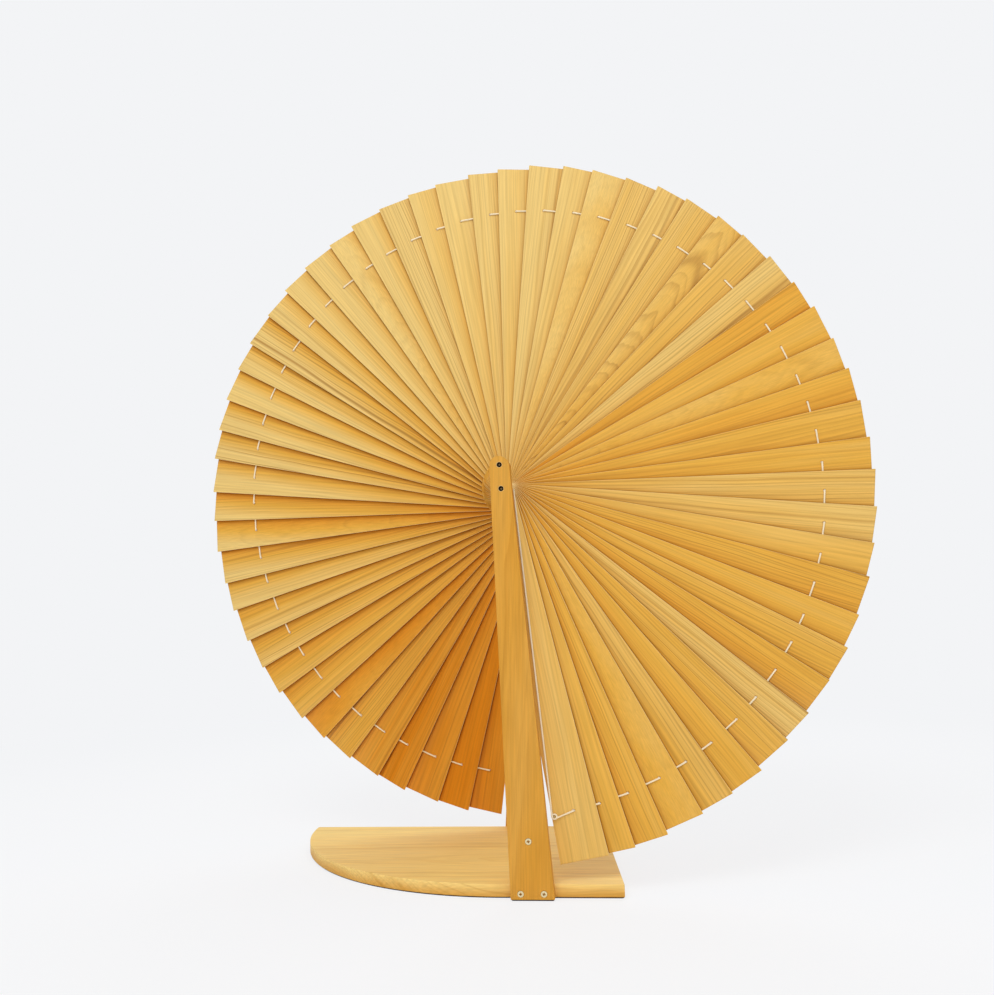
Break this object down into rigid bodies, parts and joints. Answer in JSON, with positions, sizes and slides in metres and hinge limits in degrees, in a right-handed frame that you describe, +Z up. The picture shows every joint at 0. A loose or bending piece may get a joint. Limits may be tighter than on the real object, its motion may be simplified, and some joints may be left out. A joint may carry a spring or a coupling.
{
  "type": "fan-shaped folding screen",
  "caption": "Round pine fan screen: tapered wooden slats laced on a cord, turning on one axle between two posts on a quarter-round base, folding to a narrow bundle.",
  "frame": {"origin": "on the floor, straight under the middle of the axle", "axes": "+X to the right seen from the front, +Y to the back along the axle, +Z up"},
  "size_m": [1.3218, 0.4924, 1.367],
  "materials": {
    "slat_pine": "clear lacquered pine",
    "frame_pine": "clear lacquered pine",
    "dowel": "plain beech dowel",
    "zinc_screw": "zinc plated",
    "dark_screw": "blackened",
    "brass_pin": "dull",
    "cotton_cord": "twisted cotton"
  },
  "bodies": {
    "stand": {"base_board": "frame_pine", "front_post": "frame_pine", "rear_post": "frame_pine", "front_block": "frame_pine", "rear_block": "frame_pine", "front_cheek": "frame_pine", "rear_cheek": "frame_pine", "axle": "dowel", "axle_screws": "dark_screw", "cheek_screws": "dark_screw", "post_screws": "zinc_screw", "block_screws": "zinc_screw", "cord_peg": "brass_pin", "slat_01": "slat_pine", "lacing_cord": "cotton_cord"},
    "slat_pair_01": {"slat_pair_01": "slat_pine"},
    "slat_pair_02": {"slat_pair_02": "slat_pine"},
    "slat_pair_03": {"slat_pair_03": "slat_pine"},
    "slat_pair_04": {"slat_pair_04": "slat_pine"},
    "slat_pair_05": {"slat_pair_05": "slat_pine"},
    "slat_pair_06": {"slat_pair_06": "slat_pine"},
    "slat_pair_07": {"slat_pair_07": "slat_pine"},
    "slat_pair_08": {"slat_pair_08": "slat_pine"},
    "slat_pair_09": {"slat_pair_09": "slat_pine"},
    "slat_pair_10": {"slat_pair_10": "slat_pine"},
    "slat_pair_11": {"slat_pair_11": "slat_pine"},
    "slat_pair_12": {"slat_pair_12": "slat_pine"},
    "slat_pair_13": {"slat_pair_13": "slat_pine"},
    "slat_pair_14": {"slat_pair_14": "slat_pine"},
    "slat_pair_15": {"slat_pair_15": "slat_pine"},
    "slat_pair_16": {"slat_pair_16": "slat_pine"},
    "slat_pair_17": {"slat_pair_17": "slat_pine"},
    "slat_pair_18": {"slat_pair_18": "slat_pine"},
    "slat_pair_19": {"slat_pair_19": "slat_pine"},
    "slat_pair_20": {"slat_pair_20": "slat_pine"},
    "slat_pair_21": {"slat_pair_21": "slat_pine"},
    "slat_pair_22": {"slat_pair_22": "slat_pine"},
    "slat_pair_23": {"slat_pair_23": "slat_pine"},
    "slat_pair_24": {"slat_pair_24": "slat_pine"},
    "slat_pair_25": {"slat_pair_25": "slat_pine"},
    "slat_pair_26": {"slat_pair_26": "slat_pine"},
    "slat_pair_27": {"slat_pair_27": "slat_pine"},
    "slat_pair_28": {"slat_pair_28": "slat_pine"},
    "slat_pair_29": {"slat_pair_29": "slat_pine"},
    "slat_pair_30": {"slat_pair_30": "slat_pine"}
  },
  "joints": [
    {"name": "hinge_01", "type": "hinge", "parent": "stand", "child": "slat_pair_01", "pos_m": [0, 0, 0.70606], "axis": [0, -1, 0], "range_deg": [-4.6, 0]},
    {"name": "hinge_02", "type": "hinge", "parent": "stand", "child": "slat_pair_02", "pos_m": [0, 0, 0.70606], "axis": [0, -1, 0], "range_deg": [-15.87, 0]},
    {"name": "hinge_03", "type": "hinge", "parent": "stand", "child": "slat_pair_03", "pos_m": [0, 0, 0.70606], "axis": [0, -1, 0], "range_deg": [-26.78, 0]},
    {"name": "hinge_04", "type": "hinge", "parent": "stand", "child": "slat_pair_04", "pos_m": [0, 0, 0.70606], "axis": [0, -1, 0], "range_deg": [-37.93, 0]},
    {"name": "hinge_05", "type": "hinge", "parent": "stand", "child": "slat_pair_05", "pos_m": [0, 0, 0.70606], "axis": [0, -1, 0], "range_deg": [-49.49, 0]},
    {"name": "hinge_06", "type": "hinge", "parent": "stand", "child": "slat_pair_06", "pos_m": [0, 0, 0.70606], "axis": [0, -1, 0], "range_deg": [-60.87, 0]},
    {"name": "hinge_07", "type": "hinge", "parent": "stand", "child": "slat_pair_07", "pos_m": [0, 0, 0.70606], "axis": [0, -1, 0], "range_deg": [-71.82, 0]},
    {"name": "hinge_08", "type": "hinge", "parent": "stand", "child": "slat_pair_08", "pos_m": [0, 0, 0.70606], "axis": [0, -1, 0], "range_deg": [-82.86, 0]},
    {"name": "hinge_09", "type": "hinge", "parent": "stand", "child": "slat_pair_09", "pos_m": [0, 0, 0.70606], "axis": [0, -1, 0], "range_deg": [-94.36, 0]},
    {"name": "hinge_10", "type": "hinge", "parent": "stand", "child": "slat_pair_10", "pos_m": [0, 0, 0.70606], "axis": [0, -1, 0], "range_deg": [-105.84, 0]},
    {"name": "hinge_11", "type": "hinge", "parent": "stand", "child": "slat_pair_11", "pos_m": [0, 0, 0.70606], "axis": [0, -1, 0], "range_deg": [-116.86, 0]},
    {"name": "hinge_12", "type": "hinge", "parent": "stand", "child": "slat_pair_12", "pos_m": [0, 0, 0.70606], "axis": [0, -1, 0], "range_deg": [-127.83, 0]},
    {"name": "hinge_13", "type": "hinge", "parent": "stand", "child": "slat_pair_13", "pos_m": [0, 0, 0.70606], "axis": [0, -1, 0], "range_deg": [-139.24, 0]},
    {"name": "hinge_14", "type": "hinge", "parent": "stand", "child": "slat_pair_14", "pos_m": [0, 0, 0.70606], "axis": [0, -1, 0], "range_deg": [-150.78, 0]},
    {"name": "hinge_15", "type": "hinge", "parent": "stand", "child": "slat_pair_15", "pos_m": [0, 0, 0.70606], "axis": [0, -1, 0], "range_deg": [-161.91, 0]},
    {"name": "hinge_16", "type": "hinge", "parent": "stand", "child": "slat_pair_16", "pos_m": [0, 0, 0.70606], "axis": [0, -1, 0], "range_deg": [-172.83, 0]},
    {"name": "hinge_17", "type": "hinge", "parent": "stand", "child": "slat_pair_17", "pos_m": [0, 0, 0.70606], "axis": [0, -1, 0], "range_deg": [-184.13, 0]},
    {"name": "hinge_18", "type": "hinge", "parent": "stand", "child": "slat_pair_18", "pos_m": [0, 0, 0.70606], "axis": [0, -1, 0], "range_deg": [-195.72, 0]},
    {"name": "hinge_19", "type": "hinge", "parent": "stand", "child": "slat_pair_19", "pos_m": [0, 0, 0.70606], "axis": [0, -1, 0], "range_deg": [-206.98, 0]},
    {"name": "hinge_20", "type": "hinge", "parent": "stand", "child": "slat_pair_20", "pos_m": [0, 0, 0.70606], "axis": [0, -1, 0], "range_deg": [-217.91, 0]},
    {"name": "hinge_21", "type": "hinge", "parent": "stand", "child": "slat_pair_21", "pos_m": [0, 0, 0.70606], "axis": [0, -1, 0], "range_deg": [-229.14, 0]},
    {"name": "hinge_22", "type": "hinge", "parent": "stand", "child": "slat_pair_22", "pos_m": [0, 0, 0.70606], "axis": [0, -1, 0], "range_deg": [-240.76, 0]},
    {"name": "hinge_23", "type": "hinge", "parent": "stand", "child": "slat_pair_23", "pos_m": [0, 0, 0.70606], "axis": [0, -1, 0], "range_deg": [-252.21, 0]},
    {"name": "hinge_24", "type": "hinge", "parent": "stand", "child": "slat_pair_24", "pos_m": [0, 0, 0.70606], "axis": [0, -1, 0], "range_deg": [-263.27, 0]},
    {"name": "hinge_25", "type": "hinge", "parent": "stand", "child": "slat_pair_25", "pos_m": [0, 0, 0.70606], "axis": [0, -1, 0], "range_deg": [-274.53, 0]},
    {"name": "hinge_26", "type": "hinge", "parent": "stand", "child": "slat_pair_26", "pos_m": [0, 0, 0.70606], "axis": [0, -1, 0], "range_deg": [-286.3, 0]},
    {"name": "hinge_27", "type": "hinge", "parent": "stand", "child": "slat_pair_27", "pos_m": [0, 0, 0.70606], "axis": [0, -1, 0], "range_deg": [-298.1, 0]},
    {"name": "hinge_28", "type": "hinge", "parent": "stand", "child": "slat_pair_28", "pos_m": [0, 0, 0.70606], "axis": [0, -1, 0], "range_deg": [-309.57, 0]},
    {"name": "hinge_29", "type": "hinge", "parent": "stand", "child": "slat_pair_29", "pos_m": [0, 0, 0.70606], "axis": [0, -1, 0], "range_deg": [-321.17, 0]},
    {"name": "fan_fold", "type": "hinge", "parent": "stand", "child": "slat_pair_30", "pos_m": [0, 0, 0.70606], "axis": [0, -1, 0], "range_deg": [-333.42, 0], "deforming": ["lacing_cord"]}
  ],
  "couplings": [
    {"joint": "hinge_01", "follows": "fan_fold", "ratio": 0.013763},
    {"joint": "hinge_02", "follows": "fan_fold", "ratio": 0.047563},
    {"joint": "hinge_03", "follows": "fan_fold", "ratio": 0.080276},
    {"joint": "hinge_04", "follows": "fan_fold", "ratio": 0.11373},
    {"joint": "hinge_05", "follows": "fan_fold", "ratio": 0.14839},
    {"joint": "hinge_06", "follows": "fan_fold", "ratio": 0.18253},
    {"joint": "hinge_07", "follows": "fan_fold", "ratio": 0.21536},
    {"joint": "hinge_08", "follows": "fan_fold", "ratio": 0.24849},
    {"joint": "hinge_09", "follows": "fan_fold", "ratio": 0.28298},
    {"joint": "hinge_10", "follows": "fan_fold", "ratio": 0.31741},
    {"joint": "hinge_11", "follows": "fan_fold", "ratio": 0.35047},
    {"joint": "hinge_12", "follows": "fan_fold", "ratio": 0.38335},
    {"joint": "hinge_13", "follows": "fan_fold", "ratio": 0.41757},
    {"joint": "hinge_14", "follows": "fan_fold", "ratio": 0.4522},
    {"joint": "hinge_15", "follows": "fan_fold", "ratio": 0.48557},
    {"joint": "hinge_16", "follows": "fan_fold", "ratio": 0.51832},
    {"joint": "hinge_17", "follows": "fan_fold", "ratio": 0.55223},
    {"joint": "hinge_18", "follows": "fan_fold", "ratio": 0.58698},
    {"joint": "hinge_19", "follows": "fan_fold", "ratio": 0.62075},
    {"joint": "hinge_20", "follows": "fan_fold", "ratio": 0.65354},
    {"joint": "hinge_21", "follows": "fan_fold", "ratio": 0.6872},
    {"joint": "hinge_22", "follows": "fan_fold", "ratio": 0.72208},
    {"joint": "hinge_23", "follows": "fan_fold", "ratio": 0.75641},
    {"joint": "hinge_24", "follows": "fan_fold", "ratio": 0.78959},
    {"joint": "hinge_25", "follows": "fan_fold", "ratio": 0.82334},
    {"joint": "hinge_26", "follows": "fan_fold", "ratio": 0.85864},
    {"joint": "hinge_27", "follows": "fan_fold", "ratio": 0.89403},
    {"joint": "hinge_28", "follows": "fan_fold", "ratio": 0.92842},
    {"joint": "hinge_29", "follows": "fan_fold", "ratio": 0.96323}
  ]
}
